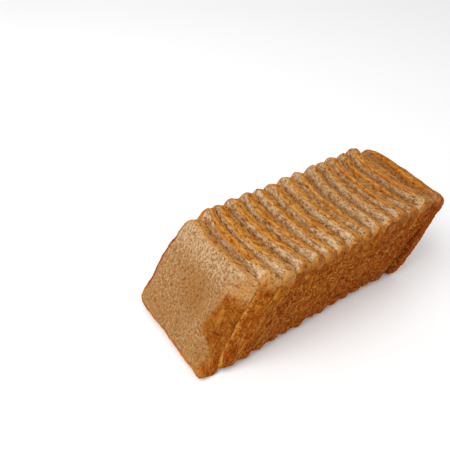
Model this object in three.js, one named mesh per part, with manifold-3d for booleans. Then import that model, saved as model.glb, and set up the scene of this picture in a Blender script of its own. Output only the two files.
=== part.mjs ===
// A sliced tin loaf, lying as it was fanned out: upright square slices that stand against each other,
// lean back towards the heel and turn a little, with every bottom edge pressed flat on the table.
// Millimetres, +Z up. The loaf runs along X from the cut front slice to the heel.
import * as THREE from "three";
import { mergeVertices } from "three/addons/utils/BufferGeometryUtils.js";
import Module from "manifold-3d";

// One slice.
const SLICE_WIDTH = 112;
const SLICE_HEIGHT = 107;
const SLICE_THICKNESS = 13.1;
const TOP_CORNER_RADIUS = 11.5;
const BASE_CORNER_RADIUS = 8;
const CORNER_SEGMENTS = 6;
const HEEL_HEIGHT = 105.5;
const HEEL_ROUNDING = 5;
const HEEL_ROUNDING_STEPS = 4;

// How the slices stand together.
const SLICES = 16;
const SEAM = 0.35;
const PRESSED_FLAT = 1.5;
const HEEL_PRESSED_FLAT = 3;

// The row changes evenly up to one slice, SETTLED, and changes differently after it.
const SETTLED = 11;

// How far each slice leans back, in degrees. The front slice has slid out the most.
const FRONT_LEAN = 29.5;
const SECOND_LEAN = 28;
const LEAST_LEAN = 22.5;

// How far each slice is turned about the upright axis, in degrees.
const FRONT_TURN = 0.5;
const MOST_TURN = -6.6;
const HEEL_TURN = -4.4;

// How far the slices stray sideways.
const SETTLED_ASIDE = -1;
const HEEL_ASIDE = -5.5;

const CRUMB_COLOUR = 0xb98a58;
const CRUST_COLOUR = 0x96501c;

const wasm = await Module();
wasm.setup();

const mix = THREE.MathUtils.lerp;
const radians = THREE.MathUtils.degToRad;
const HEEL = SLICES - 1;

function leanOf(index) {
  if (index === 0) return FRONT_LEAN;
  return mix(SECOND_LEAN, LEAST_LEAN, Math.min((index - 1) / (SETTLED - 1), 1));
}

function turnOf(index) {
  if (index > SETTLED) return mix(MOST_TURN, HEEL_TURN, (index - SETTLED) / (HEEL - SETTLED));
  return mix(FRONT_TURN, MOST_TURN, THREE.MathUtils.smoothstep(index, 0, SETTLED));
}

function asideOf(index) {
  if (index > SETTLED) return mix(SETTLED_ASIDE, HEEL_ASIDE, (index - SETTLED) / (HEEL - SETTLED));
  return SETTLED_ASIDE * (index / SETTLED) ** 2;
}

// The tin's cross-section: a square with rounded corners, seen along X, with its base on the first axis.
function crossSection(height) {
  const half = SLICE_WIDTH / 2;
  const base = BASE_CORNER_RADIUS;
  const top = TOP_CORNER_RADIUS;
  const section = new THREE.Shape();
  section.absarc(half - base, base, base, -Math.PI / 2, 0);
  section.absarc(half - top, height - top, top, 0, Math.PI / 2);
  section.absarc(top - half, height - top, top, Math.PI / 2, Math.PI);
  section.absarc(base - half, base, base, Math.PI, 1.5 * Math.PI);
  section.closePath();
  return section;
}

// An extrusion turned so that its depth runs along X and ends at the slice's back face, X = 0.
function lengthways(geometry, depth) {
  const axes = new THREE.Matrix4().makeBasis(
    new THREE.Vector3(0, 1, 0),
    new THREE.Vector3(0, 0, 1),
    new THREE.Vector3(1, 0, 0),
  );
  return geometry.applyMatrix4(axes).translate(-depth, 0, 0);
}

function toSolid(geometry) {
  const bare = new THREE.BufferGeometry();
  const plain = geometry.index ? geometry.toNonIndexed() : geometry;
  bare.setAttribute("position", plain.getAttribute("position"));
  const merged = mergeVertices(bare, 1e-4);
  return new wasm.Manifold(
    new wasm.Mesh({
      numProp: 3,
      vertProperties: merged.attributes.position.array,
      triVerts: new Uint32Array(merged.index.array),
    }),
  );
}

function toGeometry(solid) {
  const mesh = solid.getMesh();
  const geometry = new THREE.BufferGeometry();
  geometry.setAttribute("position", new THREE.BufferAttribute(mesh.vertProperties, 3));
  geometry.setIndex(new THREE.BufferAttribute(mesh.triVerts, 1));
  geometry.computeVertexNormals();
  return geometry;
}

function slab(x0, x1, z0, z1) {
  const box = new THREE.BoxGeometry(x1 - x0, 2 * SLICE_WIDTH, z1 - z0);
  return box.translate((x0 + x1) / 2, 0, (z0 + z1) / 2);
}

// A slice as the knife leaves it: flat on both faces.
function cutSlice() {
  const slice = new THREE.ExtrudeGeometry(crossSection(SLICE_HEIGHT), {
    depth: SLICE_THICKNESS,
    bevelEnabled: false,
    curveSegments: CORNER_SEGMENTS,
  });
  return toSolid(lengthways(slice, SLICE_THICKNESS));
}

// The heel is the loaf's end: a little lower, rounded at the back, cut flat at the front.
function heelSlice() {
  const rounded = new THREE.ExtrudeGeometry(crossSection(HEEL_HEIGHT), {
    depth: SLICE_THICKNESS - HEEL_ROUNDING,
    bevelThickness: HEEL_ROUNDING,
    bevelSize: HEEL_ROUNDING,
    bevelOffset: -HEEL_ROUNDING,
    bevelSegments: HEEL_ROUNDING_STEPS,
    curveSegments: CORNER_SEGMENTS,
  });
  lengthways(rounded, SLICE_THICKNESS - HEEL_ROUNDING).translate(-HEEL_ROUNDING, 0, 0);
  const knife = toSolid(slab(-3 * SLICE_THICKNESS, -SLICE_THICKNESS, -SLICE_HEIGHT, 2 * SLICE_HEIGHT));
  return toSolid(rounded).subtract(knife);
}

// The four corners of a slice's front or back face, in the loaf's frame.
function faceCorners(slice, depth) {
  const half = SLICE_WIDTH / 2;
  const corners = [];
  for (const y of [-half, half]) {
    for (const z of [0, SLICE_HEIGHT]) corners.push(slice.localToWorld(new THREE.Vector3(depth, y, z)));
  }
  return corners;
}

// How far a slice moves along X so that it clears the one in front of it by SEAM.
function slideToTouch(slice, ahead) {
  const slides = [];
  for (const corner of faceCorners(slice, -SLICE_THICKNESS)) {
    const normal = new THREE.Vector3(1, 0, 0).transformDirection(ahead.matrixWorld);
    slides.push((SEAM - ahead.worldToLocal(corner.clone()).x) / normal.x);
  }
  for (const corner of faceCorners(ahead, 0)) {
    const normal = new THREE.Vector3(1, 0, 0).transformDirection(slice.matrixWorld);
    slides.push((SEAM + SLICE_THICKNESS + slice.worldToLocal(corner.clone()).x) / normal.x);
  }
  return Math.max(...slides);
}

// Takes away what would be below the table, which leaves a flat strip under the slice's back edge.
function pressFlat(solid, slice) {
  const length = 2 * (SLICE_THICKNESS + SLICE_HEIGHT);
  const table = slab(-length, length, -SLICE_HEIGHT, 0).translate(slice.position.x, slice.position.y, 0);
  const below = toSolid(table.applyMatrix4(slice.matrixWorld.clone().invert()));
  return toGeometry(solid.subtract(below));
}

const loaf = new THREE.Group();
const cut = cutSlice();
const heel = heelSlice();
let ahead = null;
for (let index = 0; index < SLICES; index += 1) {
  const isHeel = index === HEEL;
  const slice = new THREE.Mesh();
  slice.name = isHeel ? "heel" : `slice_${String(index + 1).padStart(2, "0")}`;
  slice.material = new THREE.MeshStandardMaterial({
    color: isHeel ? CRUST_COLOUR : CRUMB_COLOUR,
    roughness: 0.9,
    metalness: 0,
  });
  slice.rotation.set(0, radians(leanOf(index)), radians(turnOf(index)), "ZYX");
  slice.position.set(0, asideOf(index), isHeel ? -HEEL_PRESSED_FLAT : -PRESSED_FLAT);
  slice.updateMatrixWorld();
  if (ahead) {
    slice.position.x = slideToTouch(slice, ahead);
    slice.updateMatrixWorld();
  }
  slice.geometry = pressFlat(isHeel ? heel : cut, slice);
  loaf.add(slice);
  ahead = slice;
}

// The origin is on the table, under the middle of the loaf.
const middle = new THREE.Box3().setFromObject(loaf, true).getCenter(new THREE.Vector3());
loaf.position.set(-middle.x, -middle.y, 0);

export default loaf;
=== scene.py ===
"""The looks of the sliced tin loaf: a detailed slice of bread in place of each CAD slice.

Lengths are in millimetres until a mesh is made; the scene itself is in metres.
A slice's own axes are: s from its front face to its back, y across the loaf, z up the slice.
Near is -y, the side that the camera sees, and far is +y.
"""
import math
from collections import namedtuple

import bpy
import numpy as np
from mathutils import Matrix, Vector


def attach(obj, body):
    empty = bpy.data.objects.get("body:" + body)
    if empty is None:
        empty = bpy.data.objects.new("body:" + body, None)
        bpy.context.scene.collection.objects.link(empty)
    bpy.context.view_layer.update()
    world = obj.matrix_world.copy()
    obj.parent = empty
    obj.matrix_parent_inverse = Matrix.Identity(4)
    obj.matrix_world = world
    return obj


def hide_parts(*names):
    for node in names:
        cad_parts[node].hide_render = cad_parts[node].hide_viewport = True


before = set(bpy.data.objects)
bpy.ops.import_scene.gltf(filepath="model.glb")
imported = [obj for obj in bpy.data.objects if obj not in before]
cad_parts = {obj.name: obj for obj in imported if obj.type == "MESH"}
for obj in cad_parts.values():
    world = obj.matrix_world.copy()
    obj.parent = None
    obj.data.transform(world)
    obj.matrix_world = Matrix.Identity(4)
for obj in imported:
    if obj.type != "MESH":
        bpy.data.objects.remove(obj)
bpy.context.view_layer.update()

MM = 0.001
NAMES = sorted(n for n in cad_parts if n.startswith("slice_")) + ["heel"]
LAST = len(NAMES) - 1

# The mesh of a slice.
AROUND = 600            # points around the outline
ARC_POINTS = 60         # points that draw each of the outline's corners
FINE_STEP = 0.62        # between rings of a face that shows
RIM_STEP = 0.62         # between rings of the crust
SHOWN_MARGIN = 15.0     # how far in a face is fine when only its edge shows
COARSE_GROWTH = 1.45    # how fast the rings widen further in
MIDDLE_MARGIN = 2.0     # how far from a face's middle the rings stop
EDGE_MARGIN = 1.7       # about how much of a face its rounded edge takes
FRONT_EDGE_RINGS = 6
BACK_EDGE_RINGS = 5
HEEL_EDGE_RINGS = 11
FIRST_SEED = 7000       # the seed of the first slice's random numbers; each later slice has the next

# Corners of the outline, seen from the front.
NEAR_TOP_RADIUS = 6.0
HEEL_NEAR_TOP_RADIUS = 9.0
FAR_TOP_RADIUS = 13.0
BASE_RADIUS = 8.0
BASE_RADIUS_GROWTH = 0.15       # from one slice to the next

# How far the cut edges are rounded: everywhere, and how much more at some places.
SHARP_EDGE = 0.5
TOP_FRONT_EDGE = 1.3
TOP_BACK_EDGE = 0.8
FAR_TOP_EDGE = 0.8
NEAR_CORNER_EDGE = 1.3
BASE_EDGE = 1.8
FIRST_NEAR_EDGE = 4.0
HEEL_EDGE_RADIUS = 5.0          # the heel's back edge, in place of all the others

# Unevenness round a slice: how large it is, and the fewest and the most waves there are round the outline.
BROAD_WAVES = (0.45, 2, 9)
FINE_WAVES = (0.22, 10, 40)
CUT_WAVES = (0.30, 3, 30)
GAP_WAVES = (0.5, 12, 90)
LAP_WAVES = (0.35, 8, 60)

CUT_REACH = 3.0         # how far onto a face the cut's unevenness reaches
GAP = 0.8               # how far the top's back edge stands off the next slice
WIDEST_GAP = 1.8
GAP_REACH = 1.5

# How each slice strays from the flat, square, even CAD slice: one value for each slice, front to heel.
# How far its front and its back bow forward at the middle of the top.
FRONT_BOW = [0.0, 1.5, 8.9, 9.4, 11.1, 10.5, 11.1, 9.4, 9.5, 12.4, 12.0, 10.9, 14.8, 16.8, 15.5, 4.0]
BACK_BOW = [1.1, 8.5, 9.0, 10.8, 10.1, 10.8, 9.1, 9.2, 12.0, 11.7, 10.6, 14.4, 16.4, 15.2, 7.0, -1.5]
# How much taller it is, and how far its top falls towards its back.
TALLER = [-1.0, 1.2, 0.6, 1.8, 0.8, -0.5, -1.0, 0.5, 0.0, 1.0, 0.8, 1.2, 1.4, 4.0, -5.0, -1.0]
BACK_DROP = [0.0, 0.0, 0.0, 0.0, 0.7, 0.0, 0.0, 0.0, 2.0, 2.7, 0.5, 0.0, 1.2, 0.0, 0.0, 0.0]
# How far its far top corner is drawn in, raised and drawn back.
FAR_TOP_IN = [4.0, 2.5, 2.5, 1.5, 1.5, 0.0, 0.5, 0.5, 0.0, 0.0, 0.0, 0.0, 0.5, 1.0, 0.0, 0.0]
FAR_UP = [2.0, 4.5, 1.5, 0.0, 2.5, 0.0, 0.5, 2.0, 1.5, 4.5, 1.5, 1.5, 3.5, 2.5, 0.0, -1.5]
FAR_BACK = [2.5, 3.0, 1.5, 2.0, 2.0, 2.0, 1.0, 0.5, 1.0, 5.0, 4.0, 1.5, 6.0, 3.0, 0.0, 0.0]
# How far its near side is set in.
NEAR_IN = [0.0] * 14 + [4.2, 0.0]
# How far its crust laps onto its faces at the middle of the top.
CRUST_LAP = [1.6, 6.0, 3.5, 3.5, 3.8, 1.2, 2.5, 2.2, 5.0, 1.4, 1.2, 4.2, 5.2, 4.0, 2.0, 4.5]
# On its near side, from 0 to 1: how smooth the crust is, and how strong its upright streaks are.
SIDE_SMOOTHNESS = [0.5, 0.4, 0.25, 0.1] + [0.0] * 12
STREAKS = [0.8, 0.9, 0.8, 0.6, 0.4] + [0.2] * 10 + [0.0]

NEAR_IN_LESS_HIGH = 0.6     # the share of NEAR_IN that is lost towards the top
FOOT_IN = 1.0               # how far a slice's near foot is set in
FIRST_FOOT_IN = 2.2         # and the first slice's

# The bow's shape: full in the middle of the slice.
BOW_FALL = 0.965        # the share of it that is lost at both sides
BOW_SKEW = 0.235        # how much more of it is left at the far side, and less at the near one
BOW_POWER = 1.3         # how it grows with height: faster and faster

# The loaf's first vertical edge is broadly rounded, so the first slices are narrower at the front.
ROUNDED_WIDTH = 28.0
ROUNDED_DEPTH = 30.0

PITCH = 13.45           # from one slice to the next in the uncut loaf

# The scale of y in the material's noise. Below 1 it draws the crumb's grain out sideways.
FIRST_GRAIN_SCALE = 1.0
GRAIN_SCALE = 0.6

# The first slice alone.
FIRST_THICKER = 3.4     # at its base, so that it rests on the next one
FIRST_FAR_FOOT = 3.0    # how far its far side stands out at the base
FIRST_FAR_MIDDLE = 2.5  # and half-way up
FIRST_TOE = 1.0         # how far the front of its base comes forward
FIRST_FAR_TOE = 2.3     # and how much further on the far side
FOOT_FLATTER = 0.7      # how much of its relief is lost at its near foot
FOOT_FILLED = 0.8       # and how much of its pores

# The heel's back.
HEEL_NEAR_BACK = 2.5    # how far its near side leans back at the top
HEEL_BULGE = 4.0        # high up, a little to the near side
HEEL_NEAR_BULGE = 1.5   # half-way up the near side
HEEL_TUCK = 2.2         # how far its near foot is set in

# How far the crust reaches onto a cut face.
LEAST_LAP = 0.6         # at the ends of the top edge
SIDE_LAP = 2.6          # down the sides
FIRST_SIDE_LAP = 2.4    # down the sides of the first slice, the only one that shows its whole face
FIRST_BASE_LAP = 1.3    # how much more it is at the first slice's base
WIDER_SIDE_LAP = 4.0    # how much more it is down the sides of the second slice and the heel
LAP_INSIDE = 0.7        # the lap fades out from this far inside its edge
LAP_OUTSIDE = 0.8       # to this far outside

# On the first slice the rounded crust laps further, up to these places (y) at these heights (z).
LAP_HEIGHTS = [0, 18, 27, 35, 45, 58, 68, 80, 93, 107]
LAP_EDGES = [-46, -41, -36, -30, -26, -25, -29, -30, -32, -42]
LAP_RIPPLE = 1.0
LAP_RIPPLE_LENGTH = 5.3
LAP_SOFTNESS = 3.5      # half the width over which that lap fades out
LAP_SOFTER_TOP = 9.0    # and how much more it is at the top
LAP_SOFTER_BASE = 4.0   # and at the base


def smoothstep(x, low, high):
    """0 below low, 1 above high. For a place or an inset, low and high are in millimetres."""
    t = np.clip((x - low) / (high - low), 0.0, 1.0)
    return t * t * (3 - 2 * t)


def hump(x, middle, spread):
    """1 at the middle, down to about a third at the spread's distance from it."""
    return np.exp(-((x - middle) / spread) ** 2)


# ---------------------------------------------------------------- relief, as height maps in millimetres

# A layer of relief is noise with a wavelength and a height, and pits where the noise passes a limit.
# Their depth is for each unit of noise past it, and they get no deeper after their reach.
Layer = namedtuple("Layer", "wavelength height pit_depth pit_limit pit_reach")

# Open crumb: a fine rough web with small holes and a few larger ones.
CRUMB_LAYERS = [
    Layer(1.5, 0.09, 0.42, 0.9, 1.4),
    Layer(3.2, 0.09, 0.52, 1.0, 1.6),
    Layer(7.5, 0.10, 0.30, 1.9, 1.5),
]
# Baked crust: wrinkles, blisters and pinholes.
CRUST_LAYERS = [
    Layer(1.6, 0.11, 0.42, 1.1, 1.3),
    Layer(3.6, 0.22, 0.50, 1.1, 1.3),
    Layer(11.0, 0.24, 0.0, 0.0, 0.0),
]
NOISE_SPREAD = 0.45     # how far a layer's waves differ in length
CRUMB_MAP = 128.0       # the length and the breadth of a slice's map of crumb
CRUMB_MAP_STEP = 0.25
CRUMB_MAP_SHIFT = 100.0     # each slice starts at random on its map, at most this far along
CRUST_MAP_ROUND = 432.0     # the length of its map of crust, round the loaf
CRUST_MAP_DEEP = 16.0   # and its breadth, along the loaf
CRUST_MAP_STEP = 0.3
HEEL_MAP = 130.0        # the length and the breadth of the map for the heel's back
HEEL_MAP_PLACE = (70.0, 10.0)
FULL_PIT = 0.7          # how deep a pit is when its painted shade is the darkest
TOP_SMOOTHNESS = 0.35   # the share of the crust's relief that is missing on top


def noise_map(rows, columns, step, wavelength, rng):
    """Noise with one dominant wavelength, which tiles, with unit variance."""
    white = np.fft.rfft2(rng.standard_normal((rows, columns)))
    fy = np.fft.fftfreq(rows, step)[:, None]
    fx = np.fft.rfftfreq(columns, step)[None, :]
    waves = np.hypot(fy, fx) * wavelength
    noise = np.fft.irfft2(white * hump(waves, 1.0, NOISE_SPREAD), s=(rows, columns))
    return (noise - noise.mean()) / noise.std()


class Relief:
    """A height map that repeats past its edges."""

    def __init__(self, layers, length, breadth, step, rng):
        self.step = step
        rows, columns = int(length / step), int(breadth / step)
        noises = [noise_map(rows, columns, step, layer.wavelength, rng) for layer in layers]
        self.height = sum(layer.height * noise for layer, noise in zip(layers, noises))
        for layer, noise in zip(layers, noises):
            self.height -= layer.pit_depth * np.clip(noise - layer.pit_limit, 0, layer.pit_reach)

    def at(self, a, b):
        """The height at a along the map's length and b along its breadth."""
        rows, columns = self.height.shape
        a, b = a / self.step, b / self.step
        i, j = np.floor(a).astype(int), np.floor(b).astype(int)
        fa, fb = a - i, b - j
        i0, i1, j0, j1 = i % rows, (i + 1) % rows, j % columns, (j + 1) % columns
        low = self.height[i0, j0] * (1 - fb) + self.height[i0, j1] * fb
        high = self.height[i1, j0] * (1 - fb) + self.height[i1, j1] * fb
        return low * (1 - fa) + high * fa


# ---------------------------------------------------------------- the outline and the rings of a slice

def arc(cy, cz, radius, start, end):
    angle = np.radians(np.linspace(start, end, ARC_POINTS))
    return np.stack([cy + radius * np.cos(angle), cz + radius * np.sin(angle)], 1)


def outline(width, height, near_top, far_top, base):
    """Points round the slice's edge at even spacing, from mid-base towards +y, with their normals and
    how far round they are."""
    half = width / 2
    path = np.concatenate([
        [[0.0, 0.0]],
        arc(half - base, base, base, -90, 0),
        arc(half - far_top, height - far_top, far_top, 0, 90),
        arc(near_top - half, height - near_top, near_top, 90, 180),
        arc(base - half, base, base, 180, 270),
        [[0.0, 0.0]],
    ])
    run = np.concatenate([[0.0], np.cumsum(np.hypot(*np.diff(path, axis=0).T))])
    at = np.arange(AROUND) / AROUND * run[-1]
    y, z = np.interp(at, run, path[:, 0]), np.interp(at, run, path[:, 1])
    ty, tz = np.roll(y, -1) - np.roll(y, 1), np.roll(z, -1) - np.roll(z, 1)
    length = np.hypot(ty, tz)
    return y, z, tz / length, -ty / length, at


def ring_wobble(rng, waves):
    """Unevenness at each point round the outline."""
    amplitude, slowest, fastest = waves
    angle = np.arange(AROUND) / AROUND * 2 * math.pi
    total = np.zeros(AROUND)
    for k in range(slowest, fastest + 1):
        total += rng.standard_normal() / k * np.cos(k * angle + rng.uniform(0, 2 * math.pi))
    return amplitude * total / total.std()


def face_fractions(half, shown):
    """How far each ring of a face is on the way from the edge rounding to the middle."""
    insets, step = [0.0], FINE_STEP
    while insets[-1] + step < half - MIDDLE_MARGIN:
        insets.append(insets[-1] + step)
        if not shown and insets[-1] > SHOWN_MARGIN:
            step *= COARSE_GROWTH
    return np.array(insets[1:]) / (half - EDGE_MARGIN)


def ring_layout(half, thickness, front_edge, back_edge, front_shown, back_shown):
    """From front centre to back centre, for each ring and each point round the outline:
    how far in it is, how deep, and how far it faces forward (-1) or back (1)."""
    level = np.zeros(AROUND)
    rows = [(front_edge + (half - front_edge) * f, level, level - 1)
            for f in face_fractions(half, front_shown)[::-1]]
    for angle in np.radians(np.linspace(0, 90, FRONT_EDGE_RINGS)):
        sin, cos = math.sin(angle), math.cos(angle)
        rows.append((front_edge * (1 - sin), front_edge * (1 - cos), level - cos))
    run = thickness - front_edge - back_edge
    count = max(2, int(round(run.mean() / RIM_STEP)))
    rows += [(level, front_edge + run * k / count, level) for k in range(1, count)]
    back_rings = HEEL_EDGE_RINGS if back_shown else BACK_EDGE_RINGS
    for angle in np.radians(np.linspace(90, 0, back_rings)):
        sin, cos = math.sin(angle), math.cos(angle)
        rows.append((back_edge * (1 - sin), thickness - back_edge * (1 - cos), level + cos))
    rows += [(back_edge + (half - back_edge) * f, level + thickness, level + 1)
             for f in face_fractions(half, back_shown)]
    return [np.stack(part) for part in zip(*rows)]


# ---------------------------------------------------------------- the slice's shape

class Skin:
    """A slice's skin as a grid of points: the rings from front to back, and the points round each ring.

    s, y, z     the point's place on the slice's own axes
    depth       how far behind the front face it is; share is the same as a share of the thickness
    inset       how far in from the outline it is
    facing      -1 on the front face, 0 on the crust's rim, 1 on the back face
    rim         1 on the rim, 0 on the faces
    across      from -1 at the near side to 1 at the far side
    ny, nz      which way the outline faces there; top, base and near_side say how much it faces
                up, down and to the near side, and side how much the rim faces either side
    upper       from 0 half-way up to 1 at the top; lower is from 0 there to 1 at the base
    heel_back   1 on the heel's back
    pit         how far down it is in a hole, from 0 to 1
    """

    def __init__(self, index, size, rng):
        self.index = index
        self.is_first, self.is_heel = index == 0, index == LAST
        self.thickness, self.width, self.cad_height = size
        self.height = self.cad_height + TALLER[index]

        near_top = HEEL_NEAR_TOP_RADIUS if self.is_heel else NEAR_TOP_RADIUS
        base_radius = BASE_RADIUS + BASE_RADIUS_GROWTH * index
        edge = outline(self.width, self.height, near_top, FAR_TOP_RADIUS, base_radius)
        edge_y, edge_z, self.ny, self.nz, self.run = edge
        wobble = ring_wobble(rng, BROAD_WAVES) + ring_wobble(rng, FINE_WAVES)
        edge_y, edge_z = edge_y + self.ny * wobble, edge_z + self.nz * wobble
        self.top, self.base = np.clip(self.nz, 0, 1), np.clip(-self.nz, 0, 1)
        self.near_side = smoothstep(-self.ny, 0.3, 0.9)

        front_edge, back_edge = self.edge_roundings(edge_y)
        self.inset, self.depth, self.facing = ring_layout(
            self.width / 2, self.thickness, front_edge, back_edge, self.is_first, self.is_heel)
        self.share = self.depth / self.thickness
        self.rim = np.sqrt(1 - self.facing ** 2)
        self.side = np.abs(self.ny) * self.rim
        self.heel_back = smoothstep(self.facing, 0.0, 0.5) if self.is_heel else np.zeros_like(self.depth)

        self.s = self.depth
        self.y = edge_y * (1 - 2 * self.inset / self.width)
        self.z = self.height / 2 + (edge_z - self.height / 2) * (1 - 2 * self.inset / self.height)

    def edge_roundings(self, edge_y):
        """How far the front and back edges are rounded at each point round the outline."""
        far = smoothstep(edge_y, -20, 40)
        near_corner = np.clip(-4 * self.ny * self.nz * (self.nz > 0), 0, 1)
        front = SHARP_EDGE + self.top * (TOP_FRONT_EDGE + FAR_TOP_EDGE * far)
        front = front + BASE_EDGE * self.base + NEAR_CORNER_EDGE * near_corner
        back = SHARP_EDGE + TOP_BACK_EDGE * self.top + BASE_EDGE * self.base
        if self.is_first:
            front = front + FIRST_NEAR_EDGE * self.near_side
        if self.is_heel:
            back = np.full(AROUND, HEEL_EDGE_RADIUS)
        return front, back

    def fray(self, rng):
        """The cut's edge on the crust isn't straight, and the back one leaves a ragged gap at the top."""
        cut = ring_wobble(rng, CUT_WAVES) * np.exp(-self.inset / CUT_REACH)
        gap = np.clip(GAP + ring_wobble(rng, GAP_WAVES), 0, WIDEST_GAP)
        self.s = self.s + cut - gap * np.exp(-self.inset / GAP_REACH) * self.share ** 4 * self.top

    def roughen(self, rng):
        """Relief: crumb on the faces, crust on the rim and on the heel's back."""
        crumb = Relief(CRUMB_LAYERS, CRUMB_MAP, CRUMB_MAP, CRUMB_MAP_STEP, rng)
        crust = Relief(CRUST_LAYERS, CRUST_MAP_ROUND, CRUST_MAP_DEEP, CRUST_MAP_STEP, rng)
        shift = rng.uniform(0, CRUMB_MAP_SHIFT, 2)
        on_face = crumb.at(self.y + shift[0], self.z + shift[1])
        on_rim = crust.at(np.broadcast_to(self.run, self.depth.shape), self.depth)
        if self.is_heel:
            baked = Relief(CRUST_LAYERS, HEEL_MAP, HEEL_MAP, CRUST_MAP_STEP, rng)
            on_back = baked.at(self.y + HEEL_MAP_PLACE[0], self.z + HEEL_MAP_PLACE[1])
            on_face = on_face * (1 - self.heel_back) + on_back * self.heel_back
        hollow = -(on_face * np.abs(self.facing) ** 2 + on_rim * self.rim ** 2)
        self.pit = np.clip(hollow / FULL_PIT, 0, 1)
        if self.is_first:
            near_foot = smoothstep(-self.y, 15, 35) * (1 - smoothstep(self.z, 26, 40))
            on_face = on_face * (1 - FOOT_FLATTER * near_foot)
            self.pit = self.pit * (1 - FOOT_FILLED * near_foot)
        smoothness = TOP_SMOOTHNESS * self.top + SIDE_SMOOTHNESS[self.index] * self.near_side
        out = on_rim * self.rim * (1 - smoothness)
        self.s = self.s + on_face * self.facing
        self.y = self.y + out * self.ny
        self.z = self.z + out * self.nz

    def bend(self):
        """Makes the square, flat slice stray from its CAD shape."""
        self.across = 2 * self.y / self.width
        self.upper, self.lower = smoothstep(self.z, 55, 107), 1 - smoothstep(self.z, 0, 60)
        self.round_first_edge()
        self.move_sides()
        if self.is_first:
            self.shape_first()
        if self.is_heel:
            self.shape_heel_back()
        self.bow()

    def round_first_edge(self):
        """The broad rounding of the loaf's first near edge, which reaches over the first slices."""
        uncut = self.index * PITCH + self.s
        rounding = np.clip(1 - uncut / ROUNDED_DEPTH, 0, 1) ** 2 * smoothstep(self.z, -2, 22)
        narrower = self.y * (1 - 2 * ROUNDED_WIDTH / self.width * rounding)
        self.y = np.where(self.y < 0, narrower, self.y)

    def move_sides(self):
        """The far top corner in and up, the near side and the near foot in, and the top's back down."""
        index, across = self.index, self.across
        foot_in = FIRST_FOOT_IN if self.is_first else FOOT_IN
        foot = smoothstep(-across, 0.4, 1.0) * (1 - smoothstep(self.z, 0, 22))
        near = smoothstep(-across, 0.3, 1.0) * (1 - NEAR_IN_LESS_HIGH * smoothstep(self.z, 40, 100))
        self.y = self.y - FAR_TOP_IN[index] * smoothstep(across, 0.2, 1.0) * self.upper
        self.y = self.y + NEAR_IN[index] * near
        self.y = self.y + foot_in * foot
        self.z = self.z - BACK_DROP[index] * self.share * self.upper
        self.z = self.z + FAR_UP[index] * smoothstep(across, 0.3, 0.95) * self.upper

    def shape_first(self):
        """The first slice's uneven far side, and its base, which is thicker and comes forward."""
        far = smoothstep(self.across, 0.2, 1.0)
        toe = FIRST_TOE + FIRST_FAR_TOE * smoothstep(self.across, -0.7, 0.9)
        self.y = self.y + FIRST_FAR_FOOT * far * self.lower
        self.y = self.y + FIRST_FAR_MIDDLE * far * hump(self.z, 62, 24)
        self.s = self.s + FIRST_THICKER * self.share * (1 - np.clip(self.z / self.height, 0, 1))
        self.s = self.s - toe * self.lower * (1 - self.share)

    def shape_heel_back(self):
        """The bulges of the heel's back."""
        rise = np.clip(self.z / self.height, 0, 1)
        near = -self.across
        back = HEEL_NEAR_BACK * smoothstep(near, -0.3, 0.9) * rise
        back = back + HEEL_BULGE * hump(near, 0.25, 0.35) * self.upper
        back = back + HEEL_NEAR_BULGE * smoothstep(near, 0.2, 0.9) * hump(self.z, 66, 22)
        back = back - HEEL_TUCK * smoothstep(near, 0.0, 0.9) * (1 - smoothstep(self.z, 5, 35))
        self.s = self.s + back * self.share

    def bow(self):
        """The slice bows forward between its sides, more and more towards its top, and its far top
        corner is drawn back, but no further than the next slice's where they touch."""
        index, across, share = self.index, self.across, self.share
        rise = np.clip(self.z / self.cad_height, 0, 1)
        arch = (1 + BOW_SKEW * across - BOW_FALL * across ** 2) * rise ** BOW_POWER
        self.s = self.s - arch * (FRONT_BOW[index] * (1 - share) + BACK_BOW[index] * share)
        touching = min(FAR_BACK[index], FAR_BACK[min(index + 1, LAST)])
        drawn_back = FAR_BACK[index] * (1 - share) + touching * share
        self.s = self.s + drawn_back * smoothstep(across, 0.1, 1.0) * rise ** 2


# ---------------------------------------------------------------- where a slice has which look

# How tan the crumb is, by place: the strength of each, from 0 to 1. FIRST means the first slice.
TAN_NEXT_TO_CRUST = 0.35    # down the sides
TAN_LATE = 0.3              # towards the heel
TAN_UNDER_TOP = 0.5         # behind the pale strip
FIRST_TAN = 0.55
FIRST_TAN_LESS_HIGH = 0.45
FIRST_TAN_CENTRE = 0.7
FIRST_TAN_LOW = 0.3

# How dark the crust is baked, and where shade is painted into it: everywhere, and how much more or less by
# place.
BAKE = 0.38
BAKE_SIDE = 0.44
BAKE_FRONT_SIDE = 0.34      # the same, on the first three slices
BAKE_LOW = 0.30
BAKE_LATE = 0.20            # towards the heel
BAKE_LATE_SIDE_LESS = 0.05
BAKE_FRONT_LESS = 0.25      # along the front edge
BACK_EDGE_SHADE = 0.40            # painted shade in the crease along the top's back edge
RECESS_SHADE = 0.4           # painted shade on the set-in near side before the heel
BAKE_EARLY_LOW = 0.16       # low on the near side of the second to fourth slices
BAKE_HEEL = 0.02
BAKE_HEEL_SIDE = 0.33
BAKE_HEEL_BACK = 0.22
BAKE_HEEL_LAP = 0.7         # where crust laps onto its front face
BAKE_FIRST_EDGE = 0.12      # the crust line round the first slice's face
BAKE_FIRST_FACE = 0.36      # where crust laps onto that face
BAKE_FIRST_FOOT_LESS = 0.20

# How pale crust and crumb are, by place, and how much painted light lightens the strip of crumb at each
# slice's top.
PALE_FRONT_CORNER = 0.8     # the near top corner of the first three slices
PALE_CORNER = 0.25
PALE_TOP = 0.35             # the top's crust towards the heel
FIRST_PALE = 0.42
FIRST_PALE_LAP = 0.5
STRIP_PAINTED_LIGHT = 1.2            # painted light on the strip of crumb that shows at the top of each slice but the first, against the shade of the grooves
STRIP_PAINTED_LIGHT_LATE_LESS = 0.55
STRIP_PAINTED_LIGHT_NEAR = 0.3

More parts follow.
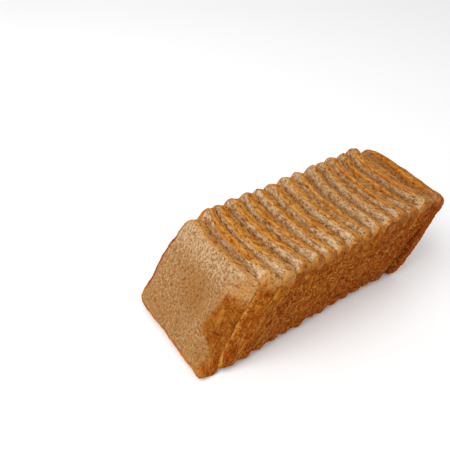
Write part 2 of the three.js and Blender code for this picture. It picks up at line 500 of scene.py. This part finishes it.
# How free the crust is of marks, by place.
CALM_FIRST_FACE = 0.6
CALM_FIRST_RIM = 0.4
CALM_FIRST_TOP = 0.65
CALM_TOP = 0.35
CALM_UPPER_SIDE = 0.6
CALM_SMOOTH_SIDE = 0.6
CALM_HEEL_SIDE = 0.5

# Where the lap on the first slice is darkest, what is left of that at its foot and lost on the rim.
DEEP_FOOT = 0.35
DEEP_RIM_LESS = 0.12

PITS_FILLED = 0.6           # how much less a pit's painted shade shows where crust laps onto a face
LINES = 0.5                 # how strong the crumb's darker veins are; the first slice has none


def rounded_lap(skin):
    """The edge (y) of the crust that laps round the loaf's corner onto the first slice's face, and
    how much each point is within it."""
    edge = np.interp(skin.z, LAP_HEIGHTS, LAP_EDGES)
    edge = edge + LAP_RIPPLE * np.sin(skin.z / LAP_RIPPLE_LENGTH)
    softness = LAP_SOFTNESS + LAP_SOFTER_TOP * smoothstep(skin.z, 66, 90)
    softness = softness + LAP_SOFTER_BASE * (1 - smoothstep(skin.z, 10, 30))
    return edge, 1 - smoothstep((skin.y - edge) / softness, -1, 1)


def crust_field(skin, lapped, rng):
    """How much each point is crust and not crumb."""
    ragged = ring_wobble(rng, LAP_WAVES)
    middle = 1 - np.clip(np.abs(skin.across) / 0.9, 0, 1) ** 3
    lap = LEAST_LAP + (CRUST_LAP[skin.index] - LEAST_LAP) * middle
    side_lap = FIRST_SIDE_LAP + FIRST_BASE_LAP * skin.base if skin.is_first else SIDE_LAP
    if skin.index in (1, LAST):
        side_lap = side_lap + WIDER_SIDE_LAP
    lap = lap * skin.top + side_lap * (1 - skin.top)
    crusty = 1 - smoothstep(skin.inset, lap - LAP_INSIDE, lap + LAP_OUTSIDE + ragged)
    crusty = np.maximum(crusty, skin.heel_back)
    if skin.is_first:
        crusty = np.maximum(crusty * (1 - skin.near_side), lapped)
    return crusty


def tan_field(skin, lap_edge):
    """How tan the crumb is, with painted shade on the middle of the heel's front face."""
    if skin.is_first:
        centre = hump(skin.y, 2, 28) * hump(skin.z, 55, 24)
        tan = FIRST_TAN - FIRST_TAN_LESS_HIGH * smoothstep(skin.z, 72, 95)
        tan = tan + FIRST_TAN_CENTRE * centre + FIRST_TAN_LOW * (1 - smoothstep(skin.z, 12, 45))
        return np.maximum(tan, 1 - smoothstep(skin.y, lap_edge + 2.0, lap_edge + 22.0))
    tan = TAN_NEXT_TO_CRUST * (1 - smoothstep(skin.inset, 2.0, 9.0)) * (1 - skin.top)
    tan = tan + TAN_LATE * smoothstep(skin.index, 7, 12)
    tan = tan + TAN_UNDER_TOP * smoothstep(skin.inset, 5.0, 9.0) * skin.top
    # Painted shade: the middle of the heel's front face, which lies in the recess behind the slice before
    # it, is made tan.
    if skin.is_heel:
        tan = np.maximum(tan, 1 - smoothstep(np.abs(skin.across + 0.1), 0.5, 0.9))
    return tan


def bake_and_shade_field(skin):
    """How dark the crust is baked: more on the sides, low down and towards the heel, with painted shade in
    the crease along the top's back edge and on the set-in near side before the heel.
    """
    index, z, rim, top, near_side = skin.index, skin.z, skin.rim, skin.top, skin.near_side
    bake_and_shade = BAKE + (BAKE_SIDE if index > 2 else BAKE_FRONT_SIDE) * skin.side
    bake_and_shade = bake_and_shade + BAKE_LOW * (1 - smoothstep(z, 0, 45)) * rim
    bake_and_shade = bake_and_shade + (BAKE_LATE - BAKE_LATE_SIDE_LESS * skin.side) * smoothstep(index, 8, 13)
    bake_and_shade = bake_and_shade - BAKE_FRONT_LESS * hump(skin.depth, 0, 1.6) * rim
    if skin.is_first:
        bake_and_shade = bake_and_shade + BAKE_FIRST_EDGE * (1 - top) * (skin.inset < 3) * (skin.across > -0.4)
        bake_and_shade = bake_and_shade + BAKE_FIRST_FACE * (1 - rim) - BAKE_FIRST_FOOT_LESS * (1 - smoothstep(z, 8, 24))
    if index in (1, 2, 3):
        bake_and_shade = bake_and_shade + BAKE_EARLY_LOW * near_side * rim * (1 - smoothstep(z, 55, 85))
    # Painted shade on the set-in near side of the slice before the heel.
    if index == LAST - 1:
        bake_and_shade = bake_and_shade + RECESS_SHADE * near_side * rim
    if skin.is_heel:
        lap = (1 - skin.heel_back) * (1 - rim) * (1 - top)
        bake_and_shade = bake_and_shade + BAKE_HEEL + BAKE_HEEL_SIDE * skin.side + BAKE_HEEL_BACK * skin.heel_back
        bake_and_shade = bake_and_shade + BAKE_HEEL_LAP * lap
    else:
        # Painted shade in the crease along the top's back edge, where the next slice stands over it.
        bake_and_shade = bake_and_shade + BACK_EDGE_SHADE * hump(skin.depth, skin.thickness, 1.0) * rim * top
    return np.clip(bake_and_shade, 0, 1)


def pale_field(skin, crusty, lapped):
    """How pale the crust is at the near top corner and on the late tops, and where the crumb is light; on
    the strip of crumb at each slice's top that lightness is painted light against the shade of the
    grooves.
    """
    index, across, z, rim = skin.index, skin.across, skin.z, skin.rim
    corner = PALE_FRONT_CORNER if index < 3 else PALE_CORNER
    pale = corner * smoothstep(-across, 0.45, 0.85) * smoothstep(z, 90, 102)
    if skin.is_first:
        return np.maximum(pale, (FIRST_PALE + FIRST_PALE_LAP * lapped) * smoothstep(z, 74, 88))
    if skin.is_heel:
        return pale
    pale = np.maximum(pale, PALE_TOP * skin.top * rim * smoothstep(index, 4, 9))
    # Painted light: the strip of crumb at the top of each slice but the first is lightened against the
    # shade of the grooves between slices.
    strip = (1 - crusty) * (1 - smoothstep(skin.inset, 5.0, 9.0)) * (1 - rim)
    strength = STRIP_PAINTED_LIGHT - STRIP_PAINTED_LIGHT_LATE_LESS * smoothstep(index, 4, 12)
    strength = strength + STRIP_PAINTED_LIGHT_NEAR * smoothstep(-across, 0.2, 0.8)
    return np.maximum(pale, strip * strength)


def calm_field(skin):
    """How free the crust is of marks."""
    if skin.is_first:
        calm = CALM_FIRST_FACE * (1 - skin.rim) + CALM_FIRST_RIM * skin.rim
        return np.maximum(calm, CALM_FIRST_TOP * smoothstep(skin.z, 74, 88))
    upper_side = smoothstep(skin.z, 84, 97) * (1 - skin.top)
    calm = np.maximum(CALM_TOP * skin.top, CALM_UPPER_SIDE * upper_side)
    calm = np.maximum(calm, CALM_SMOOTH_SIDE * SIDE_SMOOTHNESS[skin.index] * skin.near_side)
    if skin.is_heel:
        calm = np.maximum(calm, CALM_HEEL_SIDE * skin.side)
    return calm


def deep_field(skin, lapped):
    """Where the rounded lap on the first slice is darkest: in its lower half, fading at the foot."""
    foot = DEEP_FOOT + (1 - DEEP_FOOT) * smoothstep(skin.z, 8, 22)
    return lapped * (1 - smoothstep(skin.z, 64, 82)) * foot * (1 - DEEP_RIM_LESS * skin.rim)


def streak_field(skin):
    """Where the near side's crust is streaked; on the first slice it stops at its rim."""
    streak = STREAKS[skin.index] * skin.near_side * np.ones_like(skin.rim)
    return streak * skin.rim if skin.is_first else streak


def look_fields(skin, rng):
    """The mesh attributes that the bread's material reads: how much of each look a point has."""
    lap_edge, lapped = rounded_lap(skin) if skin.is_first else (None, np.zeros_like(skin.y))
    crusty = crust_field(skin, lapped, rng)
    return {
        "crust": crusty,
        "bake_and_shade": bake_and_shade_field(skin),
        "pit": skin.pit * (1 - PITS_FILLED * crusty * np.abs(skin.facing)),
        "tan": tan_field(skin, lap_edge),
        "pale": pale_field(skin, crusty, lapped),
        "calm": calm_field(skin),
        "deep": deep_field(skin, lapped),
        "lines": np.full(skin.y.shape, 0.0 if skin.is_first else LINES),
        "streak": streak_field(skin),
    }


# ---------------------------------------------------------------- the slice's mesh

FACES_FORWARD = -0.6    # a CAD face whose normal has less x than this is a slice's front


def local_frame(node):
    """A CAD slice's own axes (as rows s, y, z), the middle of its front bottom edge, and its size."""
    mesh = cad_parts[node].data
    points = np.empty(len(mesh.vertices) * 3)
    mesh.vertices.foreach_get("co", points)
    points = points.reshape(-1, 3) / MM
    normals = np.array([p.normal for p in mesh.polygons])
    areas = np.array([p.area for p in mesh.polygons])
    facing = normals[:, 0] < FACES_FORWARD
    along = -(normals[facing] * areas[facing, None]).sum(0)
    along /= np.linalg.norm(along)
    across = np.cross([0, 0, 1], along)
    across /= np.linalg.norm(across)
    axes = np.array([along, across, np.cross(along, across)])
    spans = points @ axes.T
    low, high = spans.min(0), spans.max(0)
    corner = np.array([low[0], (low[1] + high[1]) / 2, low[2]])
    return axes, corner @ axes, high - low


def build_slice(node, index):
    """One slice of bread as a closed mesh, in the place of its CAD slice."""
    rng = np.random.default_rng(FIRST_SEED + index)
    axes, corner, size = local_frame(node)
    skin = Skin(index, size, rng)
    skin.fray(rng)
    skin.roughen(rng)
    skin.bend()
    fields = look_fields(skin, rng)

    places = corner + np.stack([skin.s, skin.y, skin.z], -1).reshape(-1, 3) @ axes
    places[:, 2] = np.maximum(places[:, 2], 0.0)
    scale = FIRST_GRAIN_SCALE if skin.is_first else GRAIN_SCALE
    uncut = np.stack([index * PITCH + skin.depth, scale * skin.y, skin.z], -1).reshape(-1, 3)
    return make_mesh(node, places, uncut, fields, skin.y.shape)


def grid_faces(rings, count):
    """The faces of a closed skin over a grid of rings: quads between the rings, and two fans of
    triangles to one more point at each end. All face outward."""
    here = np.arange(count)
    following = (here + 1) % count
    start = np.arange(rings - 1)[:, None] * count
    quads = [start + here, start + following, start + count + following, start + count + here]
    first_middle = np.full(count, rings * count)
    last_ring = (rings - 1) * count
    front = np.stack([first_middle, following, here], -1)
    back = np.stack([first_middle + 1, last_ring + here, last_ring + following], -1)
    return np.stack(quads, -1).reshape(-1, 4), np.concatenate([front, back])


def make_mesh(name, places, uncut, fields, shape):
    """A closed mesh over the grid. The "uncut" attribute is each point's place in the uncut loaf."""
    rings, count = shape

    def with_middles(values):
        return np.concatenate([values, [values[:count].mean(0), values[-count:].mean(0)]])

    quads, triangles = grid_faces(rings, count)
    places = with_middles(places)
    mesh = bpy.data.meshes.new(name)
    mesh.vertices.add(len(places))
    mesh.vertices.foreach_set("co", (places * MM).astype(np.float32).ravel())
    loops = np.concatenate([quads.ravel(), triangles.ravel()])
    sizes = np.concatenate([np.full(len(quads), 4), np.full(len(triangles), 3)])
    mesh.loops.add(len(loops))
    mesh.loops.foreach_set("vertex_index", loops.astype(np.int32))
    mesh.polygons.add(len(sizes))
    starts = np.concatenate([[0], np.cumsum(sizes)[:-1]])
    mesh.polygons.foreach_set("loop_start", starts.astype(np.int32))
    mesh.polygons.foreach_set("use_smooth", np.ones(len(sizes), bool))
    layer = mesh.attributes.new("uncut", "FLOAT_VECTOR", "POINT")
    layer.data.foreach_set("vector", with_middles(uncut).astype(np.float32).ravel())
    for key, values in fields.items():
        layer = mesh.attributes.new(key, "FLOAT", "POINT")
        layer.data.foreach_set("value", with_middles(values.ravel()).astype(np.float32))
    mesh.update(calc_edges=True)
    mesh.validate()
    piece = bpy.data.objects.new("bread_" + name, mesh)
    bpy.context.scene.collection.objects.link(piece)
    return piece


# ---------------------------------------------------------------- the bread's material

CRUMB_PALE = (0.455, 0.302, 0.152)
CRUMB_MID = (0.400, 0.232, 0.096)
CRUMB_TAN = (0.330, 0.150, 0.042)
CRUMB_TOAST = (0.365, 0.148, 0.027)
CRUMB_DEEP = (0.280, 0.096, 0.018)
CRUMB_LINE = (0.270, 0.108, 0.024)
CRUMB_LIGHT = (0.665, 0.488, 0.296)
BRAN = (0.200, 0.055, 0.007)
PORE_SHADE = (0.130, 0.036, 0.005)
CRUST_PALE = (0.570, 0.325, 0.128)
CRUST_LIGHT = (0.580, 0.290, 0.070)
CRUST_MID = (0.480, 0.168, 0.015)
CRUST_DEEP = (0.245, 0.074, 0.007)
CRUST_DARK = (0.260, 0.048, 0.003)
FRECKLE_AND_PIT_SHADE = (0.110, 0.018, 0.001)
FLECK = (0.640, 0.325, 0.080)
STREAK = (0.500, 0.205, 0.036)

# How the noise is scaled along s, y and z: a smaller number draws it out.
LIGHT_STRETCH = (1.0, 1.3, 0.9)
LINE_STRETCH = (1.0, 0.28, 1.2)
SKIN_STRETCH = (1.7, 0.8, 0.6)
GROOVE_STRETCH = (1.5, 0.5, 0.13)

# How strong a mark is at most, from 0 to 1.
LIGHT = 0.60                    # light patches of crumb
LIGHT_LESS_ON_TAN = 0.42
MOTTLED = 0.40                  # the crust's mottling, outside its patches
PATCHES_MORE_MOTTLED = 0.45
FLECKED = 0.42
FRECKLED = 0.9
STREAKED = 0.6

HEAT_VARIES = 1.2               # how much the crust's darkness varies from blotch to blotch
CRUST_EDGE_VARIES = 1.7         # how ragged the line between crust and crumb is
ROUGHNESS = 0.82
SHINE = 0.02
BUMP_STRENGTH = 0.7
BUMP_HEIGHT = 0.35


class Nodes:
    """Short names for the shader nodes this file uses."""

    def __init__(self, material):
        material.use_nodes = True
        self.tree = material.node_tree
        self.shader = self.tree.nodes["Principled BSDF"]

    def node(self, kind, **settings):
        made = self.tree.nodes.new(kind)
        for key, value in settings.items():
            setattr(made, key, value)
        return made

    def put(self, socket, value):
        if isinstance(value, bpy.types.NodeSocket):
            self.tree.links.new(value, socket)
        else:
            socket.default_value = value

    def attribute(self, name, output="Fac"):
        return self.node("ShaderNodeAttribute", attribute_name=name).outputs[output]

    def math(self, operation, a, b, clamp=False):
        made = self.node("ShaderNodeMath", operation=operation, use_clamp=clamp)
        self.put(made.inputs[0], a)
        self.put(made.inputs[1], b)
        return made.outputs[0]

    def times(self, a, b):
        return self.math("MULTIPLY", a, b)

    def stretched(self, vector, scale):
        made = self.node("ShaderNodeVectorMath", operation="MULTIPLY")
        self.put(made.inputs[0], vector)
        made.inputs[1].default_value = scale
        return made.outputs[0]

    def noise(self, vector, grain, detail=2.0, rough=0.5, distort=0.0):
        """Noise whose blotches are about `grain` millimetres."""
        made = self.node("ShaderNodeTexNoise")
        self.put(made.inputs["Vector"], vector)
        made.inputs["Scale"].default_value = 1.0 / grain
        made.inputs["Detail"].default_value = detail
        made.inputs["Roughness"].default_value = rough
        made.inputs["Distortion"].default_value = distort
        return made.outputs["Fac"]

    def step(self, value, low, high):
        """0 below low, 1 above high; swapped limits reverse it."""
        made = self.node("ShaderNodeMapRange", interpolation_type="SMOOTHSTEP")
        self.put(made.inputs["Value"], value)
        made.inputs["From Min"].default_value = min(low, high)
        made.inputs["From Max"].default_value = max(low, high)
        made.inputs["To Min"].default_value = 0.0 if low < high else 1.0
        made.inputs["To Max"].default_value = 1.0 if low < high else 0.0
        return made.outputs["Result"]

    def spots(self, vector, low, high, **noise):
        """Blotches: the noise, stepped from low to high."""
        return self.step(self.noise(vector, **noise), low, high)

    def wander(self, value, noise, amount, clamp=False):
        """The value, moved up and down by the noise."""
        return self.math("ADD", value, self.times(self.math("SUBTRACT", noise, 0.5), amount), clamp)

    def mix(self, share, a, b):
        made = self.node("ShaderNodeMix", data_type="RGBA")
        self.put(made.inputs["Factor"], share)
        self.put(made.inputs[6], (*a, 1.0) if isinstance(a, tuple) else a)
        self.put(made.inputs[7], (*b, 1.0) if isinstance(b, tuple) else b)
        return made.outputs[2]

    def tint(self, colour, towards, share, most):
        """The colour, moved towards another one by the share, at most by so much."""
        return self.mix(self.times(share, most), colour, towards)


def crumb_colour(n, place):
    """Crumb: pale brown and cloudy, with specks, light patches, bran and darker veins, and painted shade
    in its pores.
    """
    tan, pale = n.attribute("tan"), n.attribute("pale")
    cloud = n.spots(place, low=0.38, high=0.62, grain=22.0, distort=0.6)
    colour = n.mix(cloud, CRUMB_PALE, CRUMB_MID)
    colour = n.tint(colour, CRUMB_TAN, tan, most=0.70)
    # On the strips of crumb at the slices' tops, pale is painted light against the shade of the grooves
    # between slices.
    colour = n.tint(colour, CRUMB_LIGHT, pale, most=0.70)
    toast = n.spots(place, low=0.50, high=0.58, grain=3.8, detail=3.0, rough=0.75)
    colour = n.tint(colour, CRUMB_TOAST, toast, most=0.75)
    specks = n.spots(place, low=0.50, high=0.58, grain=3.0, detail=3.0, rough=0.75)
    colour = n.tint(colour, CRUMB_DEEP, specks, most=0.68)
    light = n.spots(n.stretched(place, LIGHT_STRETCH), low=0.50, high=0.60, grain=2.8, rough=0.65)
    lit = n.math("SUBTRACT", LIGHT, n.times(tan, LIGHT_LESS_ON_TAN), clamp=True)
    colour = n.tint(colour, CRUMB_LIGHT, light, lit)
    bran = n.spots(place, low=0.59, high=0.64, grain=2.6, rough=0.6, distort=0.4)
    colour = n.tint(colour, BRAN, bran, most=0.75)
    # Painted shade in the pores: darker the deeper a point lies in a hole.
    colour = n.tint(colour, PORE_SHADE, n.step(n.attribute("pit"), low=0.10, high=0.90), most=0.62)
    drawn = n.stretched(place, LINE_STRETCH)
    veins = n.spots(drawn, low=0.56, high=0.66, grain=2.6, detail=3.0, rough=0.7, distort=0.3)
    return n.tint(colour, CRUMB_LINE, veins, n.attribute("lines"))


def crust_colour(n, place):
    """Crust: orange-brown where least baked, red-brown where most, mottled, flecked and freckled; with
    painted shade in its pinholes, in the crease along each top's back edge and in the recess before the
    heel.
    """
    skin = n.stretched(place, SKIN_STRETCH)
    marked = n.math("SUBTRACT", 1.0, n.attribute("calm"))
    blotch = n.noise(place, grain=9.0, detail=3.0, rough=0.6, distort=0.5)
    # The crust's darkness: its bake, with painted shade in the creases and the recess before the heel.
    heat_and_shade = n.wander(n.attribute("bake_and_shade"), blotch, HEAT_VARIES, clamp=True)
    colour = n.mix(n.step(heat_and_shade, low=0.05, high=0.60), CRUST_LIGHT, CRUST_MID)
    colour = n.mix(n.step(heat_and_shade, low=0.50, high=1.00), colour, CRUST_DARK)
    colour = n.tint(colour, CRUST_PALE, n.attribute("pale"), most=0.85)
    colour = n.tint(colour, CRUST_DEEP, n.attribute("deep"), most=0.85)

    patchy = n.spots(place, low=0.35, high=0.65, grain=14.0, detail=3.0, rough=0.6)
    strength = n.math("ADD", MOTTLED, n.times(patchy, PATCHES_MORE_MOTTLED))
    mottle = n.spots(skin, low=0.45, high=0.60, grain=3.2, detail=3.0, rough=0.75, distort=0.4)
    colour = n.tint(colour, CRUST_DARK, n.times(mottle, strength), marked)
    fleck = n.spots(skin, low=0.47, high=0.38, grain=2.4, rough=0.65)
    colour = n.tint(colour, FLECK, n.times(fleck, FLECKED), marked)
    freckle = n.spots(place, low=0.56, high=0.605, grain=2.4, rough=0.6)
    colour = n.tint(colour, FRECKLE_AND_PIT_SHADE, n.times(freckle, FRECKLED), marked)
    # Painted shade in the crust's pinholes: darker the deeper a point lies in one.
    colour = n.tint(colour, FRECKLE_AND_PIT_SHADE, n.step(n.attribute("pit"), low=0.15, high=0.80), most=0.6)

    streaked = n.times(n.attribute("streak"), STREAKED)
    grooves = n.noise(n.stretched(place, GROOVE_STRETCH), grain=3.6, detail=3.0, rough=0.7, distort=0.6)
    colour = n.tint(colour, STREAK, n.step(grooves, low=0.52, high=0.62), streaked)
    return n.tint(colour, CRUST_DARK, n.step(grooves, low=0.46, high=0.38), streaked)


def bread_material(name):
    """Crumb and crust, told apart by the "crust" attribute with a ragged edge between them."""
    material = bpy.data.materials.new(name)
    n = Nodes(material)
    place = n.attribute("uncut", "Vector")
    edge = n.wander(n.attribute("crust"), n.noise(place, grain=3.2), CRUST_EDGE_VARIES)
    colour = n.mix(n.step(edge, low=0.28, high=0.72), crumb_colour(n, place), crust_colour(n, place))
    n.put(n.shader.inputs["Base Color"], colour)
    n.shader.inputs["Roughness"].default_value = ROUGHNESS
    n.shader.inputs["Specular IOR Level"].default_value = SHINE

    bump = n.node("ShaderNodeBump")
    bump.inputs["Strength"].default_value = BUMP_STRENGTH
    bump.inputs["Distance"].default_value = BUMP_HEIGHT * MM
    n.put(bump.inputs["Height"], n.noise(place, grain=0.8, detail=3.0, rough=0.65))
    n.put(n.shader.inputs["Normal"], bump.outputs["Normal"])
    return material


# ---------------------------------------------------------------- the loaf

def build_loaf():
    """A slice of bread for each CAD slice. The heel has a material of its own, for its own slot."""
    bread = bread_material("bread")
    heel_bread = bread_material("heel_bread")
    for index, node in enumerate(NAMES):
        piece = build_slice(node, index)
        is_heel = index == LAST
        piece.data.materials.append(heel_bread if is_heel else bread)
        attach(piece, "root")
        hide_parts(node)


# ---------------------------------------------------------------- floor, light and camera, in metres

FLOOR_REACH = 6.0
FLOOR_COLOUR = (0.93, 0.93, 0.93)
FLOOR_ROUGHNESS = 0.9
SKY_STRENGTH = 0.76
LIT_POINT = (0.0, 0.0, 0.05)
KEY_PLACE, KEY_SIZE, KEY_POWER = (-0.8, 0.15, 1.4), 1.3, 14.5
FILL_PLACE, FILL_SIZE, FILL_POWER = (-0.3, -1.3, 1.0), 1.0, 1.5

# The photo's viewpoint. The camera looks straight down before it is rolled, tilted and panned, in degrees.
CAMERA_PLACE = (-0.2690, -0.2357, 0.3866)
CAMERA_ROLL = 2.626
CAMERA_TILT = 48.448
CAMERA_PAN = -36.615
CAMERA_LENS = 37.975    # in millimetres, as is the sensor's width
CAMERA_SENSOR = 36.0


def link(thing):
    bpy.context.scene.collection.objects.link(thing)
    return thing


def plain_material(name, colour, roughness):
    material = bpy.data.materials.new(name)
    material.use_nodes = True
    shader = material.node_tree.nodes["Principled BSDF"]
    shader.inputs["Base Color"].default_value = (*colour, 1.0)
    shader.inputs["Roughness"].default_value = roughness
    return material


def build_floor():
    corners = [(-1, -1), (1, -1), (1, 1), (-1, 1)]
    mesh = bpy.data.meshes.new("floor")
    mesh.from_pydata([(x * FLOOR_REACH, y * FLOOR_REACH, 0) for x, y in corners], [], [(0, 1, 2, 3)])
    mesh.materials.append(plain_material("floor_paint", FLOOR_COLOUR, FLOOR_ROUGHNESS))
    floor = link(bpy.data.objects.new("floor", mesh))


def soft_light(name, place, size, power):
    """A round lamp aimed at the loaf."""
    data = bpy.data.lights.new(name, "AREA")
    data.shape = "DISK"
    data.size = size
    data.energy = power
    light = link(bpy.data.objects.new(name, data))
    light.location = place
    light.rotation_euler = (Vector(LIT_POINT) - Vector(place)).to_track_quat("-Z", "Y").to_euler()


def light_scene():
    world = bpy.data.worlds.new("studio")
    bpy.context.scene.world = world
    world.use_nodes = True
    sky = world.node_tree.nodes["Background"]
    sky.inputs["Color"].default_value = (1.0, 1.0, 1.0, 1.0)
    sky.inputs["Strength"].default_value = SKY_STRENGTH
    soft_light("key", KEY_PLACE, KEY_SIZE, KEY_POWER)
    soft_light("fill", FILL_PLACE, FILL_SIZE, FILL_POWER)
    bpy.context.scene.view_settings.view_transform = "Standard"


def place_camera():
    data = bpy.data.cameras.new("camera")
    data.lens = CAMERA_LENS
    data.sensor_width = CAMERA_SENSOR
    camera = link(bpy.data.objects.new("camera", data))
    pan = Matrix.Rotation(math.radians(CAMERA_PAN), 4, "Z")
    tilt = Matrix.Rotation(math.radians(CAMERA_TILT), 4, "X")
    roll = Matrix.Rotation(math.radians(CAMERA_ROLL), 4, "Z")
    camera.matrix_world = Matrix.Translation(CAMERA_PLACE) @ pan @ tilt @ roll
    bpy.context.scene.camera = camera


build_loaf()
build_floor()
light_scene()
place_camera()
